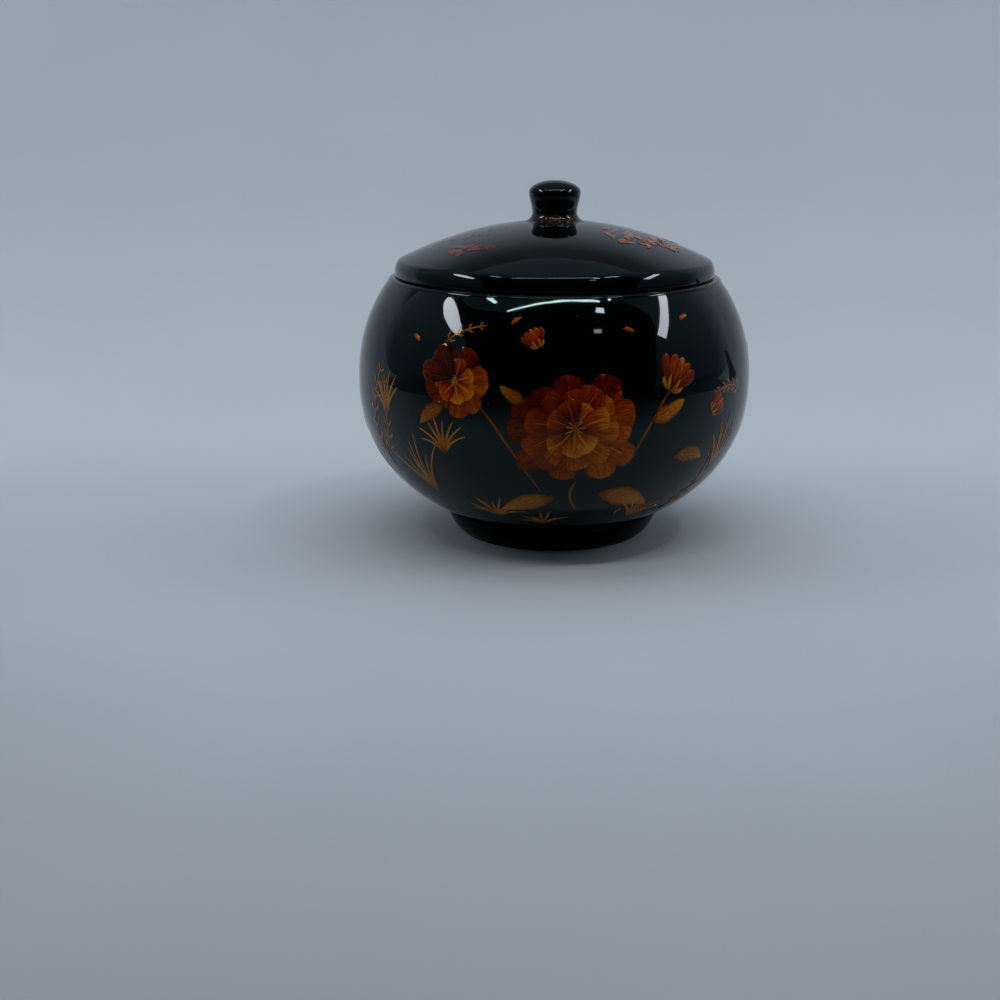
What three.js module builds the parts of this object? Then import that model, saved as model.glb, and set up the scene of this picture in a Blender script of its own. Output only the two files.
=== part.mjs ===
// Lacquered trinket box: a round bowl on a foot ring, with a domed lid that lifts off by a knob.
// Millimetres, +Z up. The origin is the centre of the foot ring's underside, on the table.
// Every piece is turned, so each is one closed outline spun about Z. Its points are (radius, height).

import * as THREE from "three";

// Driving dimensions of the bowl
const BELLY_RADIUS = 50.2; // widest radius
const BELLY_HEIGHT = 40.2; // height of the widest point
const BELLY_FULLNESS = 2.16; // power of the bowl's curve: 2 is an ellipse, and more is squarer
const UNDERSIDE_HEIGHT = 1.1; // where the lower curve would close if the foot did not cut it
const UPPER_RISE = 43.3; // from the belly to where the upper curve would close
const RIM_HEIGHT = 66.4; // flat rim that the lid rests on
const RIM_LAND = 4.6; // width of that flat rim, rounded edge included
const RIM_ROUNDING = 0.9; // rounded bead along the rim's outer edge
const WALL = 3.8;
const FLOOR = 3.5; // bottom of the bowl above the foot ring
const MOUTH_DEPTH = 5; // straight bore that guides the lid
const MOUTH_FLARE = 4.5; // height over which the mouth opens out to the inside

// Driving dimensions of the foot
const FOOT_HEIGHT = 6.4;
const FOOT_TAPER = 3.9; // how much narrower the foot is at the table
const FOOT_FULLNESS = 1.65; // power of the foot's side: 1 is a straight cone, and more bulges
const FOOT_LIP = 0.5; // how far the foot stands out past the bowl where they meet
const FOOT_WIDTH = 4.3; // width of the ring at the table, chamfers included
const FOOT_EDGE = 0.4; // height of the foot's straight edges and chamfers
const SPIGOT_LENGTH = 4.5; // stub under the bowl that the foot ring is glued round

// Driving dimensions of the lid
const LID_SETBACK = 0.85; // how far the lid's edge lies inside the bowl's rim
const LID_EDGE = 0.6; // height and depth of the rolled lower edge
const LID_NOSE_HEIGHT = 3.7; // half axes of the blunt, rounded edge above that
const LID_NOSE_DEPTH = 1.7;
const LID_NOSE_SWEEP = 70; // degrees of that edge before the dome carries on from it
const LID_RISE = 9.73; // from there to the top of the dome
const LID_THICKNESS = 3.8; // at the middle
const GUIDE_WALL = 2.6; // locating ring under the lid
const GUIDE_DEPTH = 5; // how far that ring reaches into the mouth
const GUIDE_SEAT = 2; // how far it is let into the lid
const GUIDE_SHOULDER = 1; // flat left inside the ring's seat
const GUIDE_CHAMFER = 0.5; // lead-in at the ring's lower edge

// Driving dimensions of the knob and its dowel; heights are above the knob's seat on the lid
const KNOB_HEIGHT = 10.3;
const KNOB_FOOT_RADIUS = 8.6;
const KNOB_NECK_RADIUS = 5.65;
const KNOB_NECK_HEIGHT = 2.3;
const KNOB_HEAD_RADIUS = 6.5;
const KNOB_HEAD_HEIGHT = 7.3;
const DOWEL_RADIUS = 2;
const DOWEL_IN_KNOB = 4.5;

// Clearances
const LID_CLEARANCE = 0.4; // between the locating ring and the mouth
const GLUE_GAP = 0.3; // round a glued spigot, ring or dowel

// Fineness of the turned surfaces
const TURNS = 64;
const SMALL_TURNS = 40;
const BOWL_STEPS = 17;
const LID_STEPS = 13;
const EDGE_STEPS = 4;
const CURVE_STEPS = 8;
const SHORTEST_EDGE = 0.01; // points of an outline that are closer than this are merged

const LACQUER = { color: 0x060909, roughness: 0.08, metalness: 0 };
const BARE_WOOD = { color: 0x9a7448, roughness: 0.7, metalness: 0 };

const lowerRise = BELLY_HEIGHT - UNDERSIDE_HEIGHT;

// Radius of the bowl's outside at a height.
function bowlRadius(height) {
  const rise = height < BELLY_HEIGHT ? lowerRise : UPPER_RISE;
  const share = Math.abs(height - BELLY_HEIGHT) / rise;
  return BELLY_RADIUS * (1 - share ** BELLY_FULLNESS) ** (1 / BELLY_FULLNESS);
}

// Angle on the bowl's curve at a height, from -90 degrees underneath to 90 degrees on top.
function bowlAngle(height, depth) {
  const rise = (height < BELLY_HEIGHT ? lowerRise : UPPER_RISE) - depth;
  const share = (height - BELLY_HEIGHT) / rise;
  return Math.sign(share) * Math.asin(Math.abs(share) ** (BELLY_FULLNESS / 2));
}

// Points along the bowl's curve from one height to another, evenly spaced in angle, with both ends.
// The curve is the outside, or the inside where depth is the wall.
function bowlCurve(from, to, depth = 0) {
  const first = bowlAngle(from, depth);
  const last = bowlAngle(to, depth);
  const power = 2 / BELLY_FULLNESS;
  return Array.from({ length: BOWL_STEPS + 1 }, (_, i) => {
    const angle = first + ((last - first) * i) / BOWL_STEPS;
    const rise = (angle < 0 ? lowerRise : UPPER_RISE) - depth;
    const share = Math.sign(angle) * Math.abs(Math.sin(angle)) ** power;
    return [(BELLY_RADIUS - depth) * Math.cos(angle) ** power, BELLY_HEIGHT + rise * share];
  });
}

// Points of a quarter ellipse between two corners that leaves the first along the radius or the height.
function quarter([r0, z0], [r1, z1], leavesAlong, steps = EDGE_STEPS) {
  return Array.from({ length: steps + 1 }, (_, i) => {
    const angle = (Math.PI / 2) * (i / steps);
    const early = Math.sin(angle);
    const late = 1 - Math.cos(angle);
    const [r, z] = leavesAlong === "radius" ? [early, late] : [late, early];
    return [r0 + (r1 - r0) * r, z0 + (z1 - z0) * z];
  });
}

// Points of a half wave from one radius to another, upright at both ends.
function swell([r0, z0], [r1, z1], steps = CURVE_STEPS) {
  return Array.from({ length: steps + 1 }, (_, i) => {
    const share = i / steps;
    return [r0 + ((r1 - r0) * (1 - Math.cos(Math.PI * share))) / 2, z0 + (z1 - z0) * share];
  });
}

// One closed solid of revolution about Z.
function turned(name, outline, look, turns = TURNS) {
  const points = outline
    .map(([radius, height]) => new THREE.Vector2(radius, height))
    .filter((point, i, all) => i === 0 || point.distanceTo(all[i - 1]) > SHORTEST_EDGE);
  const geometry = new THREE.LatheGeometry(points, turns);
  geometry.rotateX(Math.PI / 2);
  const mesh = new THREE.Mesh(geometry, new THREE.MeshStandardMaterial(look));
  mesh.name = name;
  return mesh;
}

const closed = (outline) => [...outline, outline[0]];

// Sizes that the bowl and the foot share
const footTopRadius = bowlRadius(FOOT_HEIGHT) + FOOT_LIP;
const footBottomRadius = footTopRadius - FOOT_TAPER;
const footBore = footBottomRadius - FOOT_WIDTH;

// Sizes that the bowl and the lid share
const rimRadius = bowlRadius(RIM_HEIGHT);
const mouthRadius = rimRadius - RIM_LAND;

// The bowl: outside curve, flat rim, straight mouth, hollow inside, and the spigot underneath.
function bowl() {
  const spigotRadius = footBore - GLUE_GAP;
  const spigotBottom = FOOT_HEIGHT - SPIGOT_LENGTH;
  const edgeStart = RIM_HEIGHT - RIM_ROUNDING;
  const mouthBottom = RIM_HEIGHT - MOUTH_DEPTH;
  const floorHeight = FOOT_HEIGHT + FLOOR;
  const beadStart = [bowlRadius(edgeStart), edgeStart];
  const beadTop = [rimRadius - RIM_ROUNDING, RIM_HEIGHT];
  return turned(
    "bowl",
    [
      [0, spigotBottom],
      [spigotRadius, spigotBottom],
      [spigotRadius, FOOT_HEIGHT],
      ...bowlCurve(FOOT_HEIGHT, edgeStart),
      ...quarter(beadStart, beadTop, "height"),
      [mouthRadius, RIM_HEIGHT],
      [mouthRadius, mouthBottom],
      ...bowlCurve(mouthBottom - MOUTH_FLARE, floorHeight, WALL),
      [0, floorHeight],
    ],
    LACQUER
  );
}

// The foot: a ring that widens from the table up to a lip just outside the bowl's curve.
function footRing() {
  const sideHeight = FOOT_HEIGHT - 2 * FOOT_EDGE;
  const side = Array.from({ length: CURVE_STEPS + 1 }, (_, i) => {
    const share = i / CURVE_STEPS;
    return [footBottomRadius + FOOT_TAPER * share, FOOT_EDGE + sideHeight * share ** FOOT_FULLNESS];
  });
  return turned(
    "foot_ring",
    closed([
      [footBore + FOOT_EDGE, 0],
      [footBottomRadius - FOOT_EDGE, 0],
      ...side,
      [footTopRadius, FOOT_HEIGHT],
      [footBore, FOOT_HEIGHT],
      [footBore, FOOT_EDGE],
    ]),
    LACQUER
  );
}

// Where the lid is widest
const lidRadius = rimRadius - LID_SETBACK;
const lidEdgeHeight = RIM_HEIGHT + LID_EDGE;

// A point of the lid's blunt edge, from 0 degrees at its widest.
function nosePoint(degrees) {
  const angle = THREE.MathUtils.degToRad(degrees);
  const radius = lidRadius - LID_NOSE_DEPTH * (1 - Math.cos(angle));
  return [radius, lidEdgeHeight + LID_NOSE_HEIGHT * Math.sin(angle)];
}

// Sizes of the lid's dome, its locating ring and its bore
const [domeRadius, domeBase] = nosePoint(LID_NOSE_SWEEP);
const domeHeight = (radius) => domeBase + LID_RISE * (1 - (radius / domeRadius) ** 2);
const knobSeat = domeHeight(KNOB_FOOT_RADIUS);
const undersideHeight = knobSeat - LID_THICKNESS;
const guideRadius = mouthRadius - LID_CLEARANCE;
const guideInner = guideRadius - GUIDE_WALL;
const guideTop = RIM_HEIGHT + GUIDE_SEAT;
const dowelBore = DOWEL_RADIUS + GLUE_GAP;

// The lid: a domed disc with a blunt edge, a rebate for its locating ring and a bore for the knob's dowel.
function lid() {
  const hollowRadius = guideInner - GUIDE_SHOULDER;
  const rebateRadius = guideRadius + GLUE_GAP;
  const noseStep = LID_NOSE_SWEEP / CURVE_STEPS;
  const nose = Array.from({ length: CURVE_STEPS }, (_, i) => nosePoint(noseStep * (i + 1)));
  const dome = Array.from({ length: LID_STEPS }, (_, i) => {
    const radius = domeRadius - (domeRadius - KNOB_FOOT_RADIUS) * ((i + 1) / LID_STEPS);
    return [radius, domeHeight(radius)];
  });
  const underside = Array.from({ length: LID_STEPS }, (_, i) => {
    const radius = dowelBore + (hollowRadius - dowelBore) * (i / (LID_STEPS - 1));
    const drop = (undersideHeight - guideTop) * (radius / hollowRadius) ** 2;
    return [radius, undersideHeight - drop];
  });
  return turned(
    "lid",
    closed([
      ...underside,
      [rebateRadius, guideTop],
      [rebateRadius, RIM_HEIGHT],
      ...quarter([lidRadius - LID_EDGE, RIM_HEIGHT], [lidRadius, lidEdgeHeight], "radius"),
      ...nose,
      ...dome,
      [dowelBore, knobSeat],
    ]),
    LACQUER
  );
}

// The locating ring: glued into the lid's rebate, it drops into the bowl's mouth.
function locatingRing() {
  const bottom = RIM_HEIGHT - GUIDE_DEPTH;
  return turned(
    "lid_locating_ring",
    closed([
      [guideInner, bottom],
      [guideRadius - GUIDE_CHAMFER, bottom],
      [guideRadius, bottom + GUIDE_CHAMFER],
      [guideRadius, guideTop],
      [guideInner, guideTop],
    ]),
    LACQUER
  );
}

// The knob: a flared foot, a neck and a rounded head, with a blind hole for the dowel.
function knob() {
  const holeTop = knobSeat + DOWEL_IN_KNOB + GLUE_GAP;
  const neck = [KNOB_NECK_RADIUS, knobSeat + KNOB_NECK_HEIGHT];
  const head = [KNOB_HEAD_RADIUS, knobSeat + KNOB_HEAD_HEIGHT];
  return turned(
    "knob",
    [
      [0, holeTop],
      [dowelBore, holeTop],
      [dowelBore, knobSeat],
      ...quarter([KNOB_FOOT_RADIUS, knobSeat], neck, "radius"),
      ...swell(neck, head),
      ...quarter(head, [0, knobSeat + KNOB_HEIGHT], "height", CURVE_STEPS),
    ],
    LACQUER,
    SMALL_TURNS
  );
}

// The dowel: a plain peg glued into the lid and the knob.
function knobDowel() {
  const top = knobSeat + DOWEL_IN_KNOB;
  return turned(
    "knob_dowel",
    [
      [0, undersideHeight],
      [DOWEL_RADIUS, undersideHeight],
      [DOWEL_RADIUS, top],
      [0, top],
    ],
    BARE_WOOD,
    SMALL_TURNS
  );
}

const trinketBox = new THREE.Group();
trinketBox.add(bowl(), footRing(), lid(), locatingRing(), knob(), knobDowel());

export default trinketBox;
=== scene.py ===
"""A black lacquered trinket box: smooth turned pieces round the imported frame, on pale paper.

Everything is in metres in the frame's own axes: +Z up, the camera looks along +Y, and the origin is on
the table.
"""

import math
import random
from bisect import bisect

import bpy
from mathutils import Matrix, Vector


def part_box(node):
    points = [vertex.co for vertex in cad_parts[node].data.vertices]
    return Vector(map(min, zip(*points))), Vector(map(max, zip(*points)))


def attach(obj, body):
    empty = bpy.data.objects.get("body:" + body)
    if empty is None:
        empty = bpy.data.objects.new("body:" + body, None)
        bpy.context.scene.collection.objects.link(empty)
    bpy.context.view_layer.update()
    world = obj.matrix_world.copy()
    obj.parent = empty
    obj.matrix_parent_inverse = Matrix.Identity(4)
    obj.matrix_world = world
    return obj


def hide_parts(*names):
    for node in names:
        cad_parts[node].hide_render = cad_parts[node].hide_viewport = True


MM = 0.001

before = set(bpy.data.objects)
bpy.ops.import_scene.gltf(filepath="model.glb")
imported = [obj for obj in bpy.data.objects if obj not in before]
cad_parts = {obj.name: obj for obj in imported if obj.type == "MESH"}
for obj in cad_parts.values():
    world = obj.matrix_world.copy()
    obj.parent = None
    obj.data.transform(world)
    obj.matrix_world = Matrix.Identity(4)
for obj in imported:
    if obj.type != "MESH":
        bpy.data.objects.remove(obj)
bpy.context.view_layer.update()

# Driving sizes of the turned outlines, in metres; the overall ones are read from the frame
bowl_low, bowl_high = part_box("bowl")
_, foot_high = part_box("foot_ring")
_, lid_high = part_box("lid")
ring_low, ring_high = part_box("lid_locating_ring")
knob_low, knob_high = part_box("knob")
BELLY_RADIUS = bowl_high.x
BELLY_HEIGHT = 40.2 * MM
BELLY_FULLNESS = 2.16
LOWER_RISE = 39.1 * MM
UPPER_RISE = 43.3 * MM
RIM_HEIGHT = bowl_high.z
RIM_LAND = 4.6 * MM
RIM_ROUNDING = 0.9 * MM
WALL = 3.8 * MM
FLOOR_HEIGHT = 9.9 * MM
MOUTH_DEPTH = 5 * MM
MOUTH_FLARE = 4.5 * MM
FOOT_TAPER = 3.9 * MM
FOOT_FULLNESS = 1.65
FOOT_WIDTH = 4.3 * MM
FOOT_EDGE = 0.4 * MM
GLUE_GAP = 0.3 * MM
LID_RADIUS = lid_high.x
LID_EDGE = 0.6 * MM
LID_NOSE_HEIGHT = 3.7 * MM
LID_NOSE_DEPTH = 1.7 * MM
LID_NOSE_SWEEP = 70
LID_RISE = 9.73 * MM
LID_THICKNESS = 3.8 * MM
GUIDE_WALL = 2.6 * MM
GUIDE_SHOULDER = 1 * MM
KNOB_FOOT_RADIUS = knob_high.x
KNOB_NECK_RADIUS = 5.65 * MM
KNOB_NECK_HEIGHT = 2.3 * MM
KNOB_HEAD_RADIUS = 6.5 * MM
KNOB_HEAD_HEIGHT = 7.3 * MM
DOWEL_BORE = 2.3 * MM
DOWEL_IN_KNOB = 4.8 * MM
CORNER = 0.25 * MM
SHARP_EDGE = 28

# Brushwork: (share of the half width, height above the lacquer) from a stroke's middle to its sunk rim
HALF_SECTION = [
    (0.12, 0.009 * MM),
    (0.35, 0.009 * MM),
    (0.6, 0.008 * MM),
    (0.85, 0.005 * MM),
    (1, -0.020 * MM),
]
STROKE_SECTION = [(-share, lift) for share, lift in reversed(HALF_SECTION)] + HALF_SECTION

# Each stroke lies one layer above the last until the layers start again, and a step along it is in mm
STROKE_LAYER = 0.0015 * MM
LAYERS = 72
STROKE_STEP = 0.9
STROKE_SHARP_EDGE = 70

# How strokes swell from the start and narrow to the end: a higher power makes that half slimmer
BLADE = (0.25, 0.8)
BUD_PETAL = (0.8, 0.5)
LEAF = (0.55, 0.75)
LOOSE_PETAL = (0.5, 0.6)
MIDRIB = (0.2, 0.5)
PETAL = (0.9, 0.38)
SMALL_LEAF = (0.5, 0.7)
SPRAY_STEM = (0.15, 0.4)
STAMEN = (0.2, 0.3)
STEM = (0.15, 0.3)
TOUCH = (0.7, 0.7)
VEIN = (0.3, 0.6)

# Camera, fitted to the photograph
CAMERA_PLACE = (0, -0.380, 0.10977)
CAMERA_PITCH = 15.17
CAMERA_YAW = 2.08
CAMERA_LENS = 53.32
SENSOR_WIDTH = 36
NEAREST_SEEN = 0.01

# What the camera sees far from the box, and the shared traits of the lacquer and the paint
FAR_TONE = (0.33, 0.38, 0.44)
COAT_IOR = 1.33


def belly_rise(is_lower):
    """How far the bowl's curve goes down from the belly, or up."""
    return LOWER_RISE if is_lower else UPPER_RISE


def bowl_radius(height):
    share = abs(height - BELLY_HEIGHT) / belly_rise(height < BELLY_HEIGHT)
    return BELLY_RADIUS * (1 - share**BELLY_FULLNESS) ** (1 / BELLY_FULLNESS)


def bowl_curve(start, end, depth=0.0, steps=72):
    """Points (radius, height) along the bowl's curve, that deep inside it, evenly spaced in angle."""

    def angle_at(height):
        share = (height - BELLY_HEIGHT) / (belly_rise(height < BELLY_HEIGHT) - depth)
        return math.copysign(math.asin(abs(share) ** (BELLY_FULLNESS / 2)), share)

    first, last = angle_at(start), angle_at(end)
    power = 2 / BELLY_FULLNESS
    points = []
    for i in range(steps + 1):
        angle = first + (last - first) * i / steps
        rise = belly_rise(angle < 0) - depth
        share = math.copysign(abs(math.sin(angle)) ** power, angle)
        radius = (BELLY_RADIUS - depth) * math.cos(angle) ** power
        points.append((radius, BELLY_HEIGHT + rise * share))
    return points


def nose_point(degrees):
    """A point (radius, height) of the lid's blunt edge, from 0 degrees at its widest."""
    angle = math.radians(degrees)
    radius = LID_RADIUS - LID_NOSE_DEPTH * (1 - math.cos(angle))
    return radius, RIM_HEIGHT + LID_EDGE + LID_NOSE_HEIGHT * math.sin(angle)


def dome_height(radius):
    dome_radius, base = nose_point(LID_NOSE_SWEEP)
    return base + LID_RISE * (1 - (radius / dome_radius) ** 2)


def quarter(start, end, leaves_along_radius, steps=10):
    """A quarter ellipse between two points that leaves the start along the radius or along the height."""
    points = []
    for i in range(steps + 1):
        angle = math.pi / 2 * i / steps
        early, late = math.sin(angle), 1 - math.cos(angle)
        r, z = (early, late) if leaves_along_radius else (late, early)
        points.append((start[0] + (end[0] - start[0]) * r, start[1] + (end[1] - start[1]) * z))
    return points


def swell(start, end):
    """A half wave between two points, upright at both ends."""
    steps = 20
    points = []
    for i in range(steps + 1):
        share = i / steps
        radius = start[0] + (end[0] - start[0]) * (1 - math.cos(math.pi * share)) / 2
        points.append((radius, start[1] + (end[1] - start[1]) * share))
    return points


def bend_point(first, bend, last, share):
    """The point at that share of a curve from first to last, drawn towards bend, and its direction."""
    point = first * (1 - share) ** 2 + bend * 2 * share * (1 - share) + last * share**2
    along = ((bend - first) * (1 - share) + (last - bend) * share).normalized()
    return point, along


def rounded(outline, corners, size, steps=3):
    """The outline with the corners at the given points rounded off, each over that size."""
    points = []
    count = len(outline)
    for i, here in enumerate(outline):
        if here not in corners:
            points.append(here)
            continue
        before, after = Vector(outline[i - 1]), Vector(outline[(i + 1) % count])
        corner = Vector(here)
        start = corner + (before - corner).normalized() * min(size, (before - corner).length / 2)
        end = corner + (after - corner).normalized() * min(size, (after - corner).length / 2)
        for k in range(steps + 1):
            point, _ = bend_point(start, corner, end, k / steps)
            points.append(tuple(point))
    return points


def new_object(name, mesh):
    made = bpy.data.objects.new(name, mesh)
    bpy.context.scene.collection.objects.link(made)
    return made


def turned(name, outline, turns=192, closed=False):
    """A smooth solid of revolution. Points on the axis become one vertex each."""
    verts, faces, rings = [], [], []
    for radius, height in outline:
        if radius < 1e-7:
            rings.append([len(verts)])
            verts.append((0, 0, height))
            continue
        rings.append(list(range(len(verts), len(verts) + turns)))
        for i in range(turns):
            angle = 2 * math.pi * i / turns
            verts.append((radius * math.cos(angle), radius * math.sin(angle), height))
    pairs = list(zip(rings, rings[1:])) + ([(rings[-1], rings[0])] if closed else [])
    for low, high in pairs:
        if len(low) == 1 and len(high) == 1:
            continue
        for i in range(turns):
            j = (i + 1) % turns
            if len(low) == 1:
                faces.append((low[0], high[j], high[i]))
            elif len(high) == 1:
                faces.append((low[i], low[j], high[0]))
            else:
                faces.append((low[i], low[j], high[j], high[i]))
    mesh = bpy.data.meshes.new(name)
    mesh.from_pydata(verts, [], faces)
    mesh.shade_smooth()
    mesh.set_sharp_from_angle(angle=math.radians(SHARP_EDGE))
    return new_object(name, mesh)


def make_bowl():
    foot_top = foot_high.z
    spigot_radius = foot_high.x - FOOT_TAPER - FOOT_WIDTH - GLUE_GAP
    edge_start = RIM_HEIGHT - RIM_ROUNDING
    bead_start = (bowl_radius(edge_start), edge_start)
    rim_radius = bowl_radius(RIM_HEIGHT)
    mouth_radius = rim_radius - RIM_LAND
    mouth_bottom = RIM_HEIGHT - MOUTH_DEPTH
    inside = bowl_curve(mouth_bottom - MOUTH_FLARE, FLOOR_HEIGHT, WALL)
    mouth_top = (mouth_radius, RIM_HEIGHT)
    mouth_end = (mouth_radius, mouth_bottom)
    outline = [
        (0, bowl_low.z),
        (spigot_radius, bowl_low.z),
        (spigot_radius, foot_top),
        *bowl_curve(foot_top, edge_start, steps=144),
        *quarter(bead_start, (rim_radius - RIM_ROUNDING, RIM_HEIGHT), False)[1:],
        mouth_top,
        mouth_end,
        *inside,
        (0, FLOOR_HEIGHT),
    ]
    outline = rounded(outline, [mouth_top, mouth_end, inside[0]], 2 * CORNER)
    return turned("lacquer_bowl", rounded(outline, [inside[-1]], 8 * CORNER, 8))


def make_foot():
    top_radius, height = foot_high.x, foot_high.z
    bottom_radius = top_radius - FOOT_TAPER
    bore = bottom_radius - FOOT_WIDTH
    steps = 32
    side = []
    for i in range(steps + 1):
        share = i / steps
        rise = (height - 2 * FOOT_EDGE) * share**FOOT_FULLNESS
        side.append((bottom_radius + FOOT_TAPER * share, FOOT_EDGE + rise))
    heel = (bottom_radius, 0)
    outline = [
        (bore + FOOT_EDGE, 0),
        heel,
        *side[1:],
        (top_radius, height),
        (bore, height),
        (bore, FOOT_EDGE),
    ]
    return turned("lacquer_foot_ring", rounded(outline, [heel], FOOT_EDGE, 5), closed=True)


def make_lid():
    rebate_radius = ring_high.x + GLUE_GAP
    hollow_radius = ring_high.x - GUIDE_WALL - GUIDE_SHOULDER
    under = knob_low.z - LID_THICKNESS
    steps, nose_steps = 48, 24
    underside = []
    for i in range(steps + 1):
        radius = DOWEL_BORE + (hollow_radius - DOWEL_BORE) * i / steps
        underside.append((radius, under - (under - ring_high.z) * (radius / hollow_radius) ** 2))
    nose = [nose_point(LID_NOSE_SWEEP * i / nose_steps) for i in range(1, nose_steps + 1)]
    dome = []
    for i in range(1, steps):
        radius = nose[-1][0] + (KNOB_FOOT_RADIUS - nose[-1][0]) * i / steps
        dome.append((radius, dome_height(radius)))
    outline = [
        *underside,
        (rebate_radius, ring_high.z),
        (rebate_radius, RIM_HEIGHT),
        *quarter((LID_RADIUS - LID_EDGE, RIM_HEIGHT), (LID_RADIUS, RIM_HEIGHT + LID_EDGE), True),
        *nose,
        *dome,
        (KNOB_FOOT_RADIUS, knob_low.z),
        (DOWEL_BORE, knob_low.z),
    ]
    return turned("lacquer_lid", outline, closed=True)


def make_locating_ring():
    inner = ring_high.x - GUIDE_WALL
    corners = [(inner, ring_low.z), (ring_high.x, ring_low.z)]
    outline = [*corners, (ring_high.x, ring_high.z), (inner, ring_high.z)]
    return turned("lacquer_locating_ring", rounded(outline, corners, 2 * CORNER, 4), closed=True)


def make_knob():
    seat, top = knob_low.z, knob_high.z
    neck = (KNOB_NECK_RADIUS, seat + KNOB_NECK_HEIGHT)
    head = (KNOB_HEAD_RADIUS, seat + KNOB_HEAD_HEIGHT)
    outline = [
        (0, seat + DOWEL_IN_KNOB),
        (DOWEL_BORE, seat + DOWEL_IN_KNOB),
        (DOWEL_BORE, seat),
        *quarter((KNOB_FOOT_RADIUS, seat), neck, True, 16),
        *swell(neck, head)[1:],
        *quarter(head, (0, top), False, 24)[1:],
    ]
    return turned("lacquer_knob", outline, 96)


class Canvas:
    """The outside of a turned piece as a sheet, measured round it and up along its outline."""

    def __init__(self, outline):
        self.outline = outline
        self.lengths = [0.0]
        for (r0, z0), (r1, z1) in zip(outline, outline[1:]):
            self.lengths.append(self.lengths[-1] + math.hypot(r1 - r0, z1 - z0))

    def up_at(self, height):
        for i, (_, z) in enumerate(self.outline):
            if z >= height:
                return self.lengths[i]
        return self.lengths[-1]

    def point(self, around, right, up, lift):
        """A point that far right and up along the surface, and that far above it."""
        i = min(max(bisect(self.lengths, up) - 1, 0), len(self.outline) - 2)
        length = self.lengths[i + 1] - self.lengths[i]
        (r0, z0), (r1, z1) = self.outline[i], self.outline[i + 1]
        share = (up - self.lengths[i]) / length
        radius = r0 + (r1 - r0) * share
        height = z0 + (z1 - z0) * share + (r0 - r1) / length * lift
        angle = around + right / radius
        radius += (z1 - z0) / length * lift
        return radius * math.sin(angle), -radius * math.cos(angle), height


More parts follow.
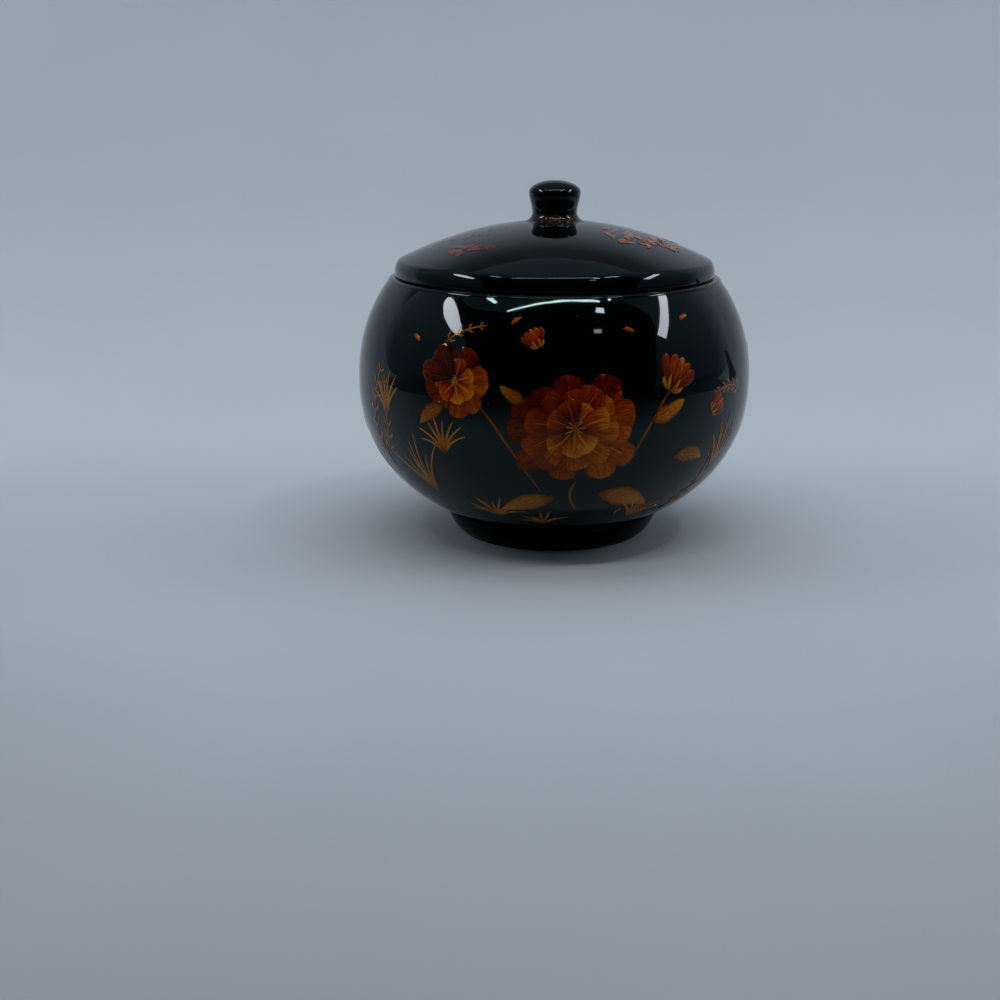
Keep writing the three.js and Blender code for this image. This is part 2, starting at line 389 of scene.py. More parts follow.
class Painting:
    """Brush strokes on a turned piece, gathered into one thin relief.

    A place is (degrees round to the right from the front, height in mm, degrees turned anticlockwise).
    The points of a stroke are in mm to the right and up from its place. Its load is how well it covers.
    For each vertex, paint holds the tone, the load, the share of gold and the nearness to the rim. Brush
    holds the mm along and across the stroke, and the stroke's seed.
    """

    def __init__(self, outline, seed):
        self.canvas = Canvas(outline)
        self.dice = random.Random(seed)
        self.verts, self.faces, self.paint, self.brush = [], [], [], []
        self.count = 0

    def stroke(self, place, path, width, tones, load=0.9, gold=0.0, shape=TOUCH):
        """A stroke along a bend given by three points. Its tone runs from the first tone to the second."""
        around, start_height, turn = place
        around = math.radians(around)
        turned_by = Matrix.Rotation(math.radians(turn), 2)
        first, bend, last = (turned_by @ Vector(point) for point in path)
        start_up = self.canvas.up_at(start_height * MM)
        length = (bend - first).length + (last - bend).length
        steps = max(6, round(length / STROKE_STEP))
        peak = shape[0] / (shape[0] + shape[1])
        widest = peak ** shape[0] * (1 - peak) ** shape[1]
        seed = self.dice.uniform(0, 50)
        layer = self.count % LAYERS * STROKE_LAYER
        self.count += 1
        base = len(self.verts)
        section = len(STROKE_SECTION)
        for i in range(steps + 1):
            share = i / steps
            middle, along = bend_point(first, bend, last, share)
            blunted = 0.01 + 0.98 * share
            ripple = 1 + 0.07 * math.sin(9 * share + seed) + 0.04 * math.sin(23 * share + 3 * seed)
            half = width / 2 * blunted ** shape[0] * (1 - blunted) ** shape[1] / widest * ripple
            tone = tones[0] + (tones[1] - tones[0]) * share
            laid = load * min(1, 0.3 + 2.4 * share)
            for across, lift in STROKE_SECTION:
                spot = middle + Vector((-along.y, along.x)) * half * across
                place_up = start_up + spot.y * MM
                height = lift + layer if lift > 0 else lift
                self.verts.append(self.canvas.point(around, spot.x * MM, place_up, height))
                self.paint += [tone, laid, gold, abs(across)]
                self.brush += [share * length, across * half, seed]
        for i in range(steps):
            near, far = base + i * section, base + (i + 1) * section
            for j in range(section):
                k = (j + 1) % section
                self.faces.append((near + j, far + j, far + k, near + k))
        end = base + steps * section
        self.faces.append(tuple(range(base, base + section)))
        self.faces.append(tuple(reversed(range(end, end + section))))

    def petal(self, place, reach, angle, width, tones, squash):
        """A petal with a vein, redder on a flower's upper left and more golden on its lower right, as a
        painted lit side.
        """
        vary = self.dice.uniform
        tip = reach * vary(0.82, 1.1)
        sway = vary(-0.3, 0.3)
        ends = [(0.1 * reach, angle), (0.62 * tip, angle + sway), (tip, angle + 0.3 * sway)]
        path = [(r * math.cos(a), squash * r * math.sin(a)) for r, a in ends]
        # Painted light: petals towards the flower's lower right get lighter, more golden tones, as its lit
        # side
        painted_lit_side = math.cos(angle + math.radians(50 + place[2]))
        tilt = 0.2 * painted_lit_side + vary(-0.12, 0.12)
        gold = max(0, 0.2 * painted_lit_side + vary(-0.15, 0.1))
        low, high = tones[0] + tilt, tones[1] + tilt
        self.stroke(place, path, width, (low, high), 0.95, gold, PETAL)
        vein = [*path[:2], (0.85 * path[2][0], 0.85 * path[2][1])]
        self.stroke(place, vein, 0.3, (high, high + 0.2), 0.9, gold, VEIN)

    def stamens(self, place, radius, squash):
        vary = self.dice.uniform
        count = 9
        for i in range(count):
            angle = math.radians(360 * i / count + vary(-12, 12))
            reach = radius * vary(0.1, 0.18)
            tip = (reach * math.cos(angle), squash * reach * math.sin(angle))
            path = [(0, 0), (0.4 * tip[0], 0.7 * tip[1]), tip]
            self.stroke(place, path, 0.4, (0.7, 0.9), 0.8, 0.3, STAMEN)

    def blossom(self, place, radius, rings, squash=0.85):
        """Stamens over rings of petals (count, share of the radius, tone at the base, tone at the tip)."""
        for count, share, low, high in rings:
            reach = radius * share
            width = 2 * math.pi * reach / count
            offset = self.dice.uniform(0, 360)
            for i in range(count):
                angle = math.radians(offset + 360 * (i + self.dice.uniform(-0.18, 0.18)) / count)
                self.petal(place, reach, angle, width, (low, high), squash)
        self.stamens(place, radius, squash)

    def bud(self, place, size):
        """A half-open flower from the side, pointing up before it is turned: petals, then sepals."""
        for lean in (-34, 32, -14, 16, 0):
            angle = math.radians(lean)
            tip = (size * math.sin(angle), size * math.cos(angle))
            bend = (0.75 * tip[0] + 0.12 * size * math.copysign(1, lean), 0.5 * tip[1])
            tones = (0.2, 0.75 - abs(lean) / 90)
            self.stroke(place, [(0, 0), bend, tip], 0.34 * size, tones, 0.95, 0, BUD_PETAL)
        sepal = 0.42 * size
        for lean in (-60, 60, -25, 25):
            angle = math.radians(lean)
            tip = (sepal * math.sin(angle), sepal * math.cos(angle))
            path = [(0, -0.1 * size), (tip[0], 0.1 * tip[1]), tip]
            self.stroke(place, path, 0.14 * size, (0.5, 0.8), 0.85, 0.8)

    def leaf(self, place, length, width, bend=0.15, tones=(0.45, 0.7), gold=0.6):
        """A leaf that points to the right before it is turned, with veins."""
        path = [(0, 0), (0.5 * length, bend * length), (length, 0)]
        self.stroke(place, path, width, tones, 0.8, gold, LEAF)
        self.stroke(place, path, 0.35, (tones[0] + 0.2, tones[1] + 0.3), 0.8, gold, MIDRIB)
        vein_tones = (tones[1], tones[1] + 0.25)
        veins = 5
        for i in range(1, veins + 1):
            share = i / (veins + 1)
            x = share * length
            y = 2 * share * (1 - share) * bend * length
            reach = 0.36 * width * math.sin(math.pi * share**0.8)
            for side in (-1, 1):
                tip = (x + 1.1 * reach, y + side * reach)
                middle = (x + 0.45 * reach, y + side * 0.6 * reach)
                self.stroke(place, [(x, y), middle, tip], 0.24, vein_tones, 0.6, gold, VEIN)

    def stem(self, place, path, width):
        self.stroke(place, path, width, (0.5, 0.4), 0.8, 0.7, STEM)

    def fan(self, place, length, blades, spread, width=0.9):
        """Blades of grass that open out upwards before they are turned, over that many degrees."""
        for i in range(blades):
            lean = math.radians(spread * ((i + 0.5) / blades - 0.5) + self.dice.uniform(-4, 4))
            shortened = 1 - 0.25 * abs(lean) / math.radians(spread)
            reach = length * self.dice.uniform(0.72, 1.05) * shortened
            tip = (reach * math.sin(lean * 1.25), reach * math.cos(lean * 1.25))
            middle = (0.5 * reach * math.sin(lean * 0.6), 0.5 * reach * math.cos(lean * 0.6))
            self.stroke(place, [(0, 0), middle, tip], width, (0.5, 1.0), 0.8, 0.6, BLADE)

    def spray(self, place, path, leaves, size, tones=(0.4, 0.85), gold=0.6):
        """A stem with small paired leaves along it."""
        self.stroke(place, path, 0.6, tones, 0.75, gold, SPRAY_STEM)
        first, bend, last = (Vector(point) for point in path)
        for i in range(leaves):
            share = (i + 1) / (leaves + 0.6)
            spot, along = bend_point(first, bend, last, share)
            across = Vector((-along.y, along.x))
            reach = size * (1 - 0.45 * share) * self.dice.uniform(0.85, 1.15)
            for side in (-1, 1):
                tip = spot + (along * 0.75 + across * side * 0.7) * reach
                middle = spot + (along * 0.25 + across * side * 0.5) * reach
                self.stroke(place, [spot, middle, tip], 0.32 * reach, tones, 0.8, gold, SMALL_LEAF)

    def finish(self, name, material, body):
        mesh = bpy.data.meshes.new(name)
        mesh.from_pydata(self.verts, [], self.faces)
        mesh.shade_smooth()
        mesh.set_sharp_from_angle(angle=math.radians(STROKE_SHARP_EDGE))
        mesh.attributes.new("paint", "FLOAT_COLOR", "POINT").data.foreach_set("color", self.paint)
        mesh.attributes.new("brush", "FLOAT_VECTOR", "POINT").data.foreach_set("vector", self.brush)
        mesh.materials.append(material)
        made = new_object(name, mesh)
        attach(made, body)


def paint_blossoms(face, material):
    art = Painting(face, 3)
    art.blossom((6, 37, 12), 16, [(13, 1.0, 0.0, 0.42), (10, 0.74, 0.0, 0.62), (7, 0.48, 0.1, 0.85)])
    art.blossom((-27, 47, -20), 9, [(10, 1.0, 0.0, 0.42), (7, 0.62, 0.1, 0.75)], 0.9)
    art.bud((33, 45, -32), 8)
    art.bud((-4, 55.5, 30), 4.5)
    art.bud((49, 38, -60), 5)
    for around, height in ((88, 44), (178, 40), (262, 46)):
        art.blossom((around, height, 0), 8, [(12, 1.0, 0.12, 0.6), (8, 0.62, 0.25, 0.85)])
    art.bud((112, 30, -40), 6)
    art.bud((204, 52, -30), 6)
    art.bud((238, 28, 40), 6)
    art.finish("painted_blossoms", material, "box")


def paint_leaves(face, material):
    art = Painting(face, 5)
    art.stem((7, 24, 0), [(0, 0), (-3, -5), (1, -11)], 0.9)
    art.stem((-20, 42, 0), [(0, 0), (8, -9), (13, -22)], 0.7)
    art.stem((33, 45, 0), [(0, 0), (-5, -6), (-9, -15)], 0.7)
    art.leaf((1, 19, 205), 14, 6.5, -0.12, (0.5, 0.85))
    art.leaf((14, 20, -24), 15, 7, 0.16, (0.55, 0.95), 0.3)
    art.leaf((27, 38, 24), 10, 4.4, -0.1, (0.5, 0.9), 0.3)
    art.leaf((-7, 43, 150), 7, 3.2, 0.14, (0.4, 0.65))
    art.leaf((-30, 41, 215), 9, 3.8, -0.15, (0.35, 0.6))
    art.leaf((36, 28, -8), 10, 4.6, 0.2, (0.45, 0.7))
    for around in (88, 178, 262):
        art.leaf((around - 4, 34, 215), 11, 5, -0.12)
        art.leaf((around + 5, 33, -30), 12, 5.5, 0.16)
        art.stem((around, 38, 0), [(0, 0), (2, -10), (-1, -20)], 0.6)
    art.finish("painted_leaves", material, "box")


def paint_grasses(face, material):
    art = Painting(face, 8)
    art.fan((-40, 17, 14), 19, 7, 62)
    art.fan((-31, 29, 8), 11, 8, 100)
    art.fan((-20, 12, 0), 10, 9, 115)
    art.fan((-53, 36, 6), 13, 7, 80)
    art.fan((-3, 10, 6), 8, 7, 120, 0.7)
    art.fan((30, 11, -14), 12, 7, 90)
    art.fan((56, 22, -10), 15, 6, 55)
    art.spray((-58, 22, 0), [(0, 0), (-5, 14), (2, 27)], 7, 3.2)
    art.spray((46, 12, 0), [(0, 0), (7, 8), (6, 20)], 6, 3.0)
    art.spray((-33, 54, 0), [(0, 0), (4, 5), (11, 6)], 4, 2.2)
    art.spray((66, 40, 0), [(0, 0), (-6, 5), (-13, 2)], 5, 2.6)
    for around in (125, 150, 218, 290):
        art.fan((around, 16, 0), 15, 7, 70)
        art.spray((around + 12, 24, 0), [(0, 0), (6, 10), (3, 22)], 6, 3)
    for place in ((-12, 60, 40), (20, 59, -20), (40, 60, 15), (-44, 56, -30), (23, 13, 60)):
        art.stroke(place, [(0, 0), (1.2, 0.8), (2.8, 0.2)], 1.1, (0.5, 0.85), 0.9, 0.1)
    art.finish("painted_grasses", material, "box")


def paint_lid(material):
    """Clusters of loose red petals on the lid's slope, each with a spray and its own tone."""
    steps = 200
    bare_edge = 4 * MM
    width = LID_RADIUS - bare_edge - KNOB_FOOT_RADIUS
    slope = [KNOB_FOOT_RADIUS + width * (1 - i / steps) for i in range(steps)]
    art = Painting([(radius, dome_height(radius)) for radius in slope], 13)
    vary = art.dice.uniform
    for around, height, tone in (
        (-74, 77, 0.1),
        (-52, 75.5, 0.2),
        (48, 77.6, 0.4),
        (60, 75, 0.55),
        (78, 76.5, 0.3),
        (150, 76, 0.3),
        (212, 76, 0.3),
    ):
        for _ in range(9):
            place = (around + vary(-10, 10), height + vary(-1.6, 1.6), vary(-80, 80))
            length = vary(3.5, 7)
            path = [(0, 0), (0.5 * length, vary(-0.3, 0.3) * length), (length, 0)]
            art.stroke(place, path, vary(1.2, 2.6), (tone, tone + 0.3), 0.6, 0.1, LOOSE_PETAL)
        place = (around + 4, height - 1.5, vary(-40, 40))
        art.spray(place, [(0, 0), (5, 3), (10, 1)], 4, 2.6, (tone, tone + 0.3), 0.15)
    art.finish("painted_lid_sprays", material, "lid")


class Nodes:
    """A node tree, with short calls for adding, filling and joining its nodes."""

    def __init__(self, tree):
        self.tree = tree

    def add(self, kind, inputs=(), **settings):
        node = self.tree.nodes.new(kind)
        for key, value in settings.items():
            setattr(node, key, value)
        for key, value in dict(inputs).items():
            node.inputs[key].default_value = value
        return node

    def join(self, output, socket):
        self.tree.links.new(output, socket)

    def noise(self, place, scale, detail=2.0, roughness=0.5):
        inputs = {"Scale": scale, "Detail": detail, "Roughness": roughness}
        node = self.add("ShaderNodeTexNoise", inputs)
        self.join(place, node.inputs["Vector"])
        return node.outputs["Fac"]

    def spread(self, value, low, high, to_low=0.0, to_high=1.0):
        """Maps a value from low..high to to_low..to_high, held at both ends."""
        inputs = {"From Min": low, "From Max": high, "To Min": to_low, "To Max": to_high}
        node = self.add("ShaderNodeMapRange", inputs)
        self.join(value, node.inputs["Value"])
        return node.outputs["Result"]

    def combine(self, operation, first, second):
        """A math node on two values, each an output or a plain number."""
        node = self.add("ShaderNodeMath", operation=operation)
        for socket, value in zip(node.inputs, (first, second)):
            if isinstance(value, (int, float)):
                socket.default_value = value
            else:
                self.join(value, socket)
        return node.outputs[0]

    def ramp(self, value, *stops):
        """A colour ramp through (position, colour) stops, read at the value."""
        node = self.add("ShaderNodeValToRGB")
        elements = node.color_ramp.elements
        while len(elements) < len(stops):
            elements.new(0.5)
        for element, (position, colour) in zip(elements, stops):
            element.position = position
            element.color = (*colour, 1)
        self.join(value, node.inputs["Fac"])
        return node.outputs["Color"]

    def mix(self, share, first, second):
        node = self.add("ShaderNodeMix", data_type="RGBA")
        self.join(share, node.inputs["Factor"])
        for name, colour in (("A", first), ("B", second)):
            socket = next(s for s in node.inputs if s.name == name and s.type == "RGBA")
            if isinstance(colour, tuple):
                socket.default_value = (*colour, 1)
            else:
                self.join(colour, socket)
        return next(s for s in node.outputs if s.type == "RGBA")

    def bump(self, height, strength, distance, shader):
        node = self.add("ShaderNodeBump", {"Strength": strength, "Distance": distance})
        self.join(height, node.inputs["Height"])
        self.join(node.outputs["Normal"], shader.inputs["Normal"])


def new_material(name):
    material = bpy.data.materials.new(name)
    material.use_nodes = True
    return material, Nodes(material.node_tree), material.node_tree.nodes["Principled BSDF"]


def lacquer_material(name="black_lacquer", smoothest=0.025, dullest=0.06, gloss=0.5):
    """Deep greenish-black lacquer, faintly wavy, with thin haze and a few specks.

    Its roughness runs from smoothest to dullest with the haze, and gloss is how strongly it reflects.
    """
    material, n, shader = new_material(name)
    place = n.add("ShaderNodeTexCoord").outputs["Object"]
    cloud = n.noise(place, 60.0, 3.0)
    colour = n.ramp(cloud, (0.35, (0.0002, 0.0004, 0.0004)), (0.7, (0.0008, 0.0012, 0.0012)))
    dust = n.add("ShaderNodeTexVoronoi", {"Scale": 110.0})
    n.join(place, dust.inputs["Vector"])
    specks = n.spread(dust.outputs["Distance"], 0.012, 0.03, 1.0, 0.0)
    n.join(n.mix(specks, colour, (0.05, 0.05, 0.05)), shader.inputs["Base Color"])
    haze = n.noise(place, 220.0, 5.0, 0.65)
    n.join(n.spread(haze, 0.35, 0.8, smoothest, dullest), shader.inputs["Roughness"])
    n.bump(n.noise(place, 90.0), 0.11, 0.4 * MM, shader)
    shader.inputs["IOR"].default_value = COAT_IOR
    shader.inputs["Specular IOR Level"].default_value = gloss
    shader.inputs["Specular Tint"].default_value = (0.65, 0.95, 0.93, 1)
    return material


def knob_material():
    """The lacquer, rubbed through to a red-brown undercoat in patches low on the knob."""
    material = lacquer_material("knob_lacquer")
    n = Nodes(material.node_tree)
    base = material.node_tree.nodes["Principled BSDF"].inputs["Base Color"]
    place = n.add("ShaderNodeTexCoord").outputs["Object"]
    axes = n.add("ShaderNodeSeparateXYZ")
    n.join(place, axes.inputs["Vector"])
    foot = n.spread(axes.outputs["Z"], knob_low.z + 2 * MM, knob_low.z + 3.5 * MM, 1.0, 0.0)
    patches = n.noise(place, 420.0, 4.0, 0.7)
    rubbed = n.spread(n.combine("MULTIPLY", foot, patches), 0.44, 0.6)
    n.join(n.mix(rubbed, base.links[0].from_socket, (0.034, 0.012, 0.005)), base)
    return material


def painted_material():
    """Red, orange and gold brushwork, streaky and thin at its rims, over the black lacquer."""
    material, n, shader = new_material("painted_lacquer")
    paint = n.add("ShaderNodeAttribute", attribute_name="paint")
    parts = n.add("ShaderNodeSeparateColor")
    n.join(paint.outputs["Color"], parts.inputs["Color"])
    brush = n.add("ShaderNodeAttribute", attribute_name="brush")
    stretch = n.add("ShaderNodeMapping", {"Scale": (0.3, 2.6, 1.0)})
    n.join(brush.outputs["Vector"], stretch.inputs["Vector"])
    streak = n.noise(stretch.outputs["Vector"], 1.0, 4.0, 0.6)
    tone = n.combine("ADD", parts.outputs["Red"], n.spread(streak, 0.3, 0.7, -0.24, 0.24))
    red = n.ramp(
        tone,
        (0.0, (0.022, 0.001, 0.0003)),
        (0.3, (0.10, 0.006, 0.0004)),
        (0.55, (0.21, 0.022, 0.0005)),
        (0.8, (0.36, 0.075, 0.001)),
        (1.0, (0.46, 0.17, 0.006)),
    )
    gold = n.ramp(
        tone,
        (0.0, (0.03, 0.010, 0.0005)),
        (0.5, (0.18, 0.060, 0.001)),
        (1.0, (0.42, 0.19, 0.014)),
    )
    colour = n.mix(parts.outputs["Blue"], red, gold)
    worn = n.combine("SUBTRACT", parts.outputs["Green"], n.spread(streak, 0.45, 0.75, 0.0, 0.4))
    rim = n.spread(paint.outputs["Alpha"], 0.5, 1.0, 0.0, 0.6)
    cover = n.spread(n.combine("SUBTRACT", worn, rim), 0.0, 0.7)
    n.join(n.mix(cover, (0.0005, 0.0008, 0.0008), colour), shader.inputs["Base Color"])
    n.join(n.spread(streak, 0.3, 0.7, 0.05, 0.12), shader.inputs["Roughness"])
    n.bump(streak, 0.1, 0.05 * MM, shader)
    shader.inputs["IOR"].default_value = COAT_IOR
    shader.inputs["Specular Tint"].default_value = (1.0, 0.65, 0.3, 1)
    return material


def wood_material():
    """Pale turned wood with grain along the peg."""
    material, n, shader = new_material("bare_wood")
    place = n.add("ShaderNodeTexCoord").outputs["Object"]
    stretch = n.add("ShaderNodeMapping", {"Scale": (900, 900, 90)})
    n.join(place, stretch.inputs["Vector"])
    grain = n.noise(stretch.outputs["Vector"], 1.0, 6.0, 0.6)
    colour = n.ramp(grain, (0.3, (0.17, 0.085, 0.03)), (0.7, (0.42, 0.25, 0.10)))
    n.join(colour, shader.inputs["Base Color"])
    shader.inputs["Roughness"].default_value = 0.62
    n.bump(grain, 0.3, 0.1 * MM, shader)
    return material


def sweep_material():
    """Pale grey-blue paper with a faint mottle, darker in front and at the backdrop's top. Both are
    painted shade, and the backdrop is painted lighter across its middle.

    Far from the box the camera sees it fade into the tone of the background, as a painted glow.
    """
    material, n, shader = new_material("pale_sweep")
    place = n.add("ShaderNodeTexCoord").outputs["Object"]
    axes = n.add("ShaderNodeSeparateXYZ")
    n.join(place, axes.inputs["Vector"])
    # Painted light and shade up the sheets: lighter across the backdrop's middle, darker towards its top
    paper = n.ramp(
        axes.outputs["Z"],
        (0.0, (0.345, 0.392, 0.442)),
        (0.06, (0.318, 0.361, 0.408)),
        (0.16, (0.322, 0.366, 0.413)),
        (0.32, (0.44, 0.495, 0.56)),
        (0.42, (0.46, 0.52, 0.59)),
        (0.54, (0.26, 0.295, 0.335)),
        (0.62, (0.12, 0.137, 0.155)),
        (0.76, (0.075, 0.09, 0.10)),
    )
    # Painted shadow: the paper darkens towards the front
    painted_front_shade = n.spread(axes.outputs["Y"], 0.12, -0.13)
    paper = n.mix(painted_front_shade, paper, (0.288, 0.33, 0.373))
    mottle = n.spread(n.noise(place, 9.0, 4.0), 0.3, 0.7, 0.0, 0.04)
    n.join(n.mix(mottle, paper, (0.66, 0.68, 0.73)), shader.inputs["Base Color"])
    # Painted glow: far from the box the paper gives off the background's tone, for the camera alone
    away = n.add("ShaderNodeVectorMath", operation="LENGTH")
    n.join(place, away.inputs[0])
    seen = n.add("ShaderNodeLightPath").outputs["Is Camera Ray"]
    fade = n.combine("MULTIPLY", seen, n.spread(away.outputs["Value"], 0.55, 2.2))
    n.join(fade, shader.inputs["Emission Strength"])
    shader.inputs["Emission Color"].default_value = (*FAR_TONE, 1)
    shader.inputs["Roughness"].default_value = 0.9
    shader.inputs["Specular IOR Level"].default_value = 0.1
    return material


def flag_material():
    """Black studio cloth that is see-through where its cover is low. On the floor in front it is painted
    shadow.
    """
    material, n, shader = new_material("flag_cloth")
    place = n.add("ShaderNodeTexCoord").outputs["Object"]
    weave = n.noise(place, 30.0)
    colour = n.ramp(weave, (0.3, (0.002, 0.002, 0.002)), (0.7, (0.005, 0.005, 0.005)))
    n.join(colour, shader.inputs["Base Color"])
    shader.inputs["Roughness"].default_value = 0.95
    shader.inputs["Specular IOR Level"].default_value = 0.1
    cover = n.add("ShaderNodeAttribute", attribute_name="cover")
    n.join(cover.outputs["Fac"], shader.inputs["Alpha"])
    return material


def add_sheet(name, verts, faces, material):
    mesh = bpy.data.meshes.new(name)
    mesh.from_pydata(verts, [], faces)
    mesh.shade_smooth()
    mesh.materials.append(material)
    sheet = new_object(name, mesh)
    return sheet


def level_sheet(name, spans, material):
    """A sheet on the table made of rectangles, each given by its left, right, near and far edges."""
    verts, faces = [], []
    for left, right, near, far in spans:
        k = len(verts)
        verts += [(left, near, 0), (right, near, 0), (right, far, 0), (left, far, 0)]
        faces.append((k, k + 1, k + 2, k + 3))
    return add_sheet(name, verts, faces, material)


def make_sweep():
    """A sheet of paper under the box, one behind it that bends up, and the rest of the floor round them.

    The gloss of the box shows the two sheets and not the floor past their edges.
    """
    paper = sweep_material()
    side, near, back = 0.355, -0.9, 0.16
    level_sheet("paper", [(-side, side, near, back)], paper)

    left, right, bend_radius, top = -1.0, 0.66, 0.40, 0.76
    steps = 32
    profile = []
    for i in range(steps + 1):
        angle = math.pi / 2 * i / steps
        profile.append((back + bend_radius * math.sin(angle), bend_radius * (1 - math.cos(angle))))
    profile.append((back + bend_radius, top))
    verts = [(x, y, z) for y, z in profile for x in (left, right)]
    faces = [(k, k + 1, k + 3, k + 2) for k in range(0, len(verts) - 2, 2)]
    add_sheet("backdrop", verts, faces, paper)

    reach = 4.0
    spans = [
        (-reach, reach, -reach, near),
        (-reach, -side, near, back),
        (side, reach, near, back),
        (-reach, left, back, reach),
        (right, reach, back, reach),
    ]
    level_sheet("floor", spans, paper).visible_glossy = False


def make_flag(name, columns, cloth):
    """A black cloth round the box, out of the camera's sight, that keeps the gloss deep.

    A column is a list of points (degrees round to the right from the front, distance, height, cover).
    """
    verts, covers = [], []
    for column in columns:
        for around, distance, height, cover in column:
            angle = math.radians(around)
            verts.append((distance * math.sin(angle), -distance * math.cos(angle), height))
            covers.append(cover)
    rows = len(columns[0])
    faces = []
    for i in range(len(columns) - 1):
        for j in range(rows - 1):
            k = i * rows + j
            faces.append((k, k + rows, k + rows + 1, k + 1))
    mesh = bpy.data.meshes.new(name)
    mesh.from_pydata(verts, [], faces)
    mesh.attributes.new("cover", "FLOAT", "POINT").data.foreach_set("value", covers)
    mesh.materials.append(cloth)
    flag = new_object(name, mesh)
    flag.visible_camera = False
    flag.visible_shadow = False


def hang_flag(cloth):
    """The cloth behind the camera: degrees round, lower edge, upper edge and how softly it ends there."""
    crisp, soft, softest = 0.01, 0.08, 0.12
    distance = 0.6
    edges = [
        (-85, 0.70, 0.715, crisp),
        (-75, 0.585, 0.69, crisp),
        (-66, 0.49, 0.70, crisp),
        (-60, 0.436, 0.725, crisp),
        (-52, 0.284, 0.755, crisp),
        (-48, 0.09, 0.77, crisp),
        (-45, 0.0, 0.775, crisp),
        (-40, 0.0, 0.787, crisp),
        (-22, 0.0, 1.0, soft),
        (-4, 0.0, 1.17, softest),
        (20, 0.0, 1.2, softest),
        (37, 0.0, 1.13, soft),
        (54, 0.0, 0.96, crisp),
        (58, 0.09, 0.94, crisp),
        (62, 0.27, 0.92, crisp),
        (68, 0.40, 0.74, crisp),
        (71, 0.50, 0.60, crisp),
        (72.5, 0.54, 0.55, crisp),
    ]
    columns = []
    for around, low, high, fade in edges:
        rows = ((low, 1), (high - fade, 1), (high + fade, 0))
        columns.append([(around, distance, height, cover) for height, cover in rows])
    make_flag("flag_behind_camera", columns, cloth)


def lay_flag(cloth):
    """A black sheet on the floor in front, out of the camera's sight: painted shadow in the box's gloss.
    It thins out to the sides and towards the box.
    """
    height = 0.003
    sides = [(-110, 0), (-80, 0.35), (-55, 0.9), (-20, 1), (20, 1), (55, 0.9), (80, 0.35), (110, 0)]
    rows = [(0.13, 0), (0.19, 0.28), (0.29, 0.65), (0.42, 0.92), (0.6, 1), (4.0, 1)]
    columns = []
    for around, most in sides:
        columns.append([(around, distance, height, most * cover) for distance, cover in rows])
    make_flag("painted_shadow_on_floor", columns, cloth)


def stand_flag(cloth):
    """The low cloth far on the right: degrees round, lower edge and upper edge."""
    distance, cover = 0.36, 0.85
    edges = [
        (112.2, 0.068, 0.075),
        (113.8, 0.024, 0.071),
        (114.6, 0.002, 0.068),
        (116.3, 0.002, 0.054),
        (119.8, 0.002, 0.029),
        (122, 0.002, 0.018),
        (123.5, 0.006, 0.011),
    ]
    columns = []
    for around, *heights in edges:
        columns.append([(around, distance, height, cover) for height in heights])
    make_flag("flag_far_right", columns, cloth)


def make_flags():
    cloth = flag_material()
    hang_flag(cloth)
    # Painted shadow: a black sheet on the floor in front
    lay_flag(cloth)
    stand_flag(cloth)


def strip_light(name, start, end, width, radiance, in_gloss=True):
    """A flat light from start to end that faces the box, as bright as its radiance whatever its size."""
    start, end, target = Vector(start), Vector(end), Vector((0, 0, 0.05))
    middle = (start + end) / 2
    along = (end - start).normalized()
    across = (middle - target).cross(along).normalized()
    away = along.cross(across)
    data = bpy.data.lights.new(name, "AREA")
    data.shape = "RECTANGLE"
    data.size = (end - start).length
    data.size_y = width
    data.energy = 4 * data.size * width * radiance
    light = new_object(name, data)
    facing = Matrix((along, across, away)).transposed().to_4x4()
    light.matrix_world = Matrix.Translation(middle) @ facing
    light.visible_glossy = in_gloss
    return light


def window_light(name, start, end, width, radiance, shape="RECTANGLE"):
    """A faintly pink light that only gloss shows. The lacquer's green tint makes it white there."""
    light = strip_light(name, start, end, width, radiance)
    light.data.shape = shape
    light.data.color = (1.0, 0.82, 0.9)
    light.visible_diffuse = False


def make_lights():
    strip_light("overhead", (-0.9, 0.4, 1.1), (0.9, 0.4, 1.1), 1.2, 1.3, in_gloss=False)
    strip_light("left_fill", (-1.0, -0.3, 0.7), (-1.0, 0.3, 0.7), 0.6, 2.1, in_gloss=False)
    strip_light("right_fill", (1.0, -0.3, 0.7), (1.0, 0.3, 0.7), 0.6, 2.1, in_gloss=False)
    strip_light("front_tube", (-0.602, -0.735, 1.3), (0.529, -0.505, 1.3), 0.030, 38)
    strip_light("left_tube", (-0.761, -0.319, 1.3), (-0.69, -0.488, 1.3), 0.045, 28)
    strip_light("right_tube", (0.612, -0.43, 1.3), (0.737, -0.24, 1.3), 0.045, 42)
    window_light("left_window", (-1.0, 0.07, 1.005), (-1.0, -0.52, 0.70), 0.18, 14, "ELLIPSE")
    window_light("right_window", (1.0, 0.181, 1.045), (1.0, -0.345, 0.575), 0.11, 16)
    window_light("small_window", (0.347, -0.4, 0.80), (0.312, -0.4, 0.682), 0.06, 26)
    window_light("smaller_window", (0.203, -0.4, 0.41), (0.252, -0.4, 0.422), 0.028, 9)


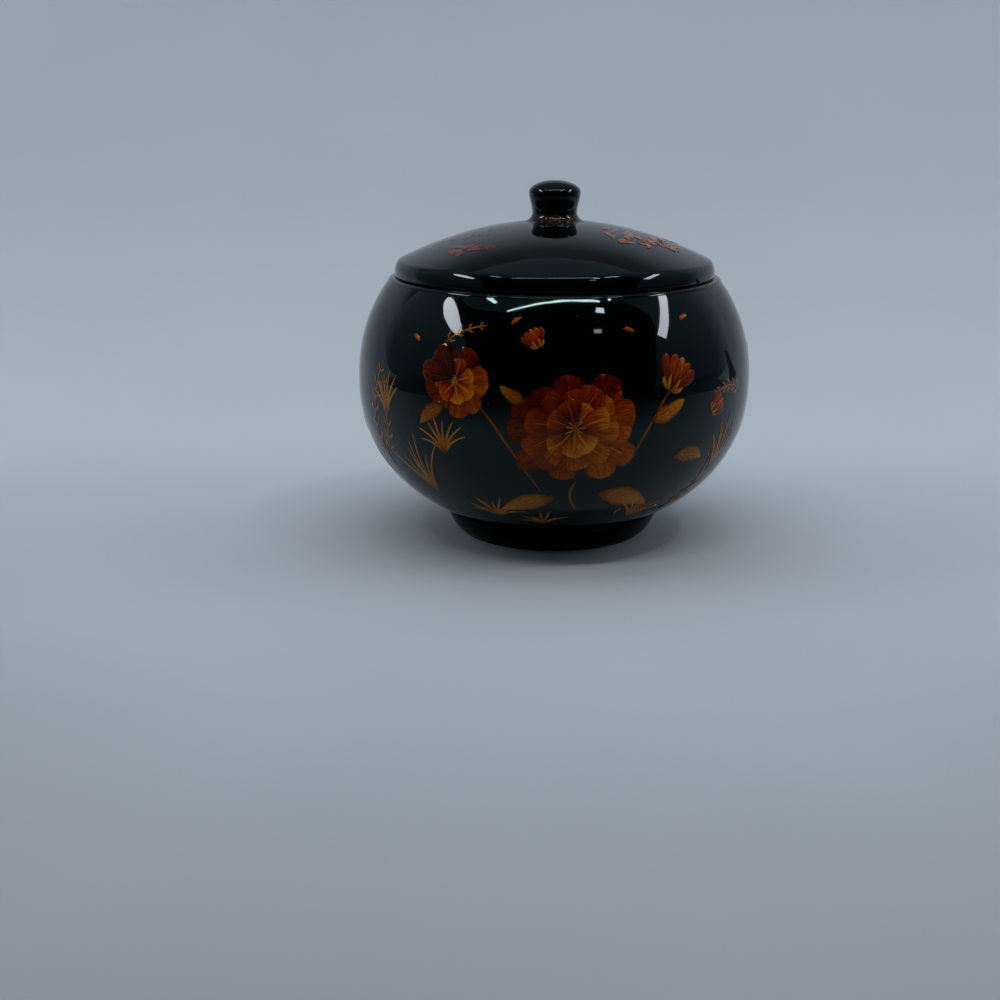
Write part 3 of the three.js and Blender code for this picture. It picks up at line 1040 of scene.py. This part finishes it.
def make_world():
    """A dim room, darkest at eye level and lighter above, with a soft glow over the backdrop.

    The camera sees it pale instead.
    """
    world = bpy.data.worlds.new("dim_room")
    world.use_nodes = True
    n = Nodes(world.node_tree)
    axes = n.add("ShaderNodeSeparateXYZ")
    n.join(n.add("ShaderNodeTexCoord").outputs["Generated"], axes.inputs["Vector"])
    height = n.spread(axes.outputs["Z"], -1.0, 1.0)
    room = n.ramp(
        height,
        (0.50, (0.10, 0.14, 0.18)),
        (0.60, (0.12, 0.18, 0.22)),
        (0.72, (0.16, 0.25, 0.29)),
        (0.85, (0.20, 0.29, 0.36)),
        (0.89, (0.15, 0.21, 0.25)),
        (1.0, (0.17, 0.23, 0.28)),
    )
    glow = n.ramp(
        height,
        (0.74, (0.40, 0.49, 0.56)),
        (0.83, (0.29, 0.38, 0.44)),
        (0.86, (0.18, 0.26, 0.30)),
        (0.89, (0.14, 0.20, 0.24)),
        (1.0, (0.17, 0.23, 0.28)),
    )
    colour = n.mix(n.spread(axes.outputs["Y"], 0.35, 0.65), room, glow)
    seen = n.add("ShaderNodeLightPath").outputs["Is Camera Ray"]
    colour = n.mix(seen, colour, FAR_TONE)
    background = world.node_tree.nodes["Background"]
    n.join(colour, background.inputs["Color"])
    bpy.context.scene.world = world


def make_camera():
    data = bpy.data.cameras.new("camera")
    data.sensor_width = SENSOR_WIDTH
    data.lens = CAMERA_LENS
    data.clip_start = NEAREST_SEEN
    camera = new_object("camera", data)
    camera.location = CAMERA_PLACE
    camera.rotation_euler = (math.radians(90 - CAMERA_PITCH), 0, math.radians(CAMERA_YAW))
    bpy.context.scene.camera = camera


def finish_piece(piece, material, body, slot, *nodes):
    piece.data.materials.append(material)
    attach(piece, body)
    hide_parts(*nodes)


lacquer = lacquer_material()
finish_piece(make_bowl(), lacquer, "box", "black_lacquer", "bowl")
dull_lacquer = lacquer_material("foot_lacquer", smoothest=0.18, dullest=0.32, gloss=0.12)
finish_piece(make_foot(), dull_lacquer, "box", "foot_lacquer", "foot_ring")
finish_piece(make_lid(), lacquer, "lid", "black_lacquer", "lid")
finish_piece(make_locating_ring(), lacquer, "lid", "black_lacquer", "lid_locating_ring")
finish_piece(make_knob(), knob_material(), "lid", "black_lacquer", "knob")
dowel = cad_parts["knob_dowel"]
dowel.data.materials.clear()
dowel.data.materials.append(wood_material())

brushwork = painted_material()
bowl_face = bowl_curve(foot_high.z, RIM_HEIGHT - RIM_ROUNDING, steps=400)
paint_blossoms(bowl_face, brushwork)
paint_leaves(bowl_face, brushwork)
paint_grasses(bowl_face, brushwork)
paint_lid(brushwork)

make_sweep()
make_flags()
make_lights()
make_world()
make_camera()

bpy.context.scene.view_settings.view_transform = "Standard"
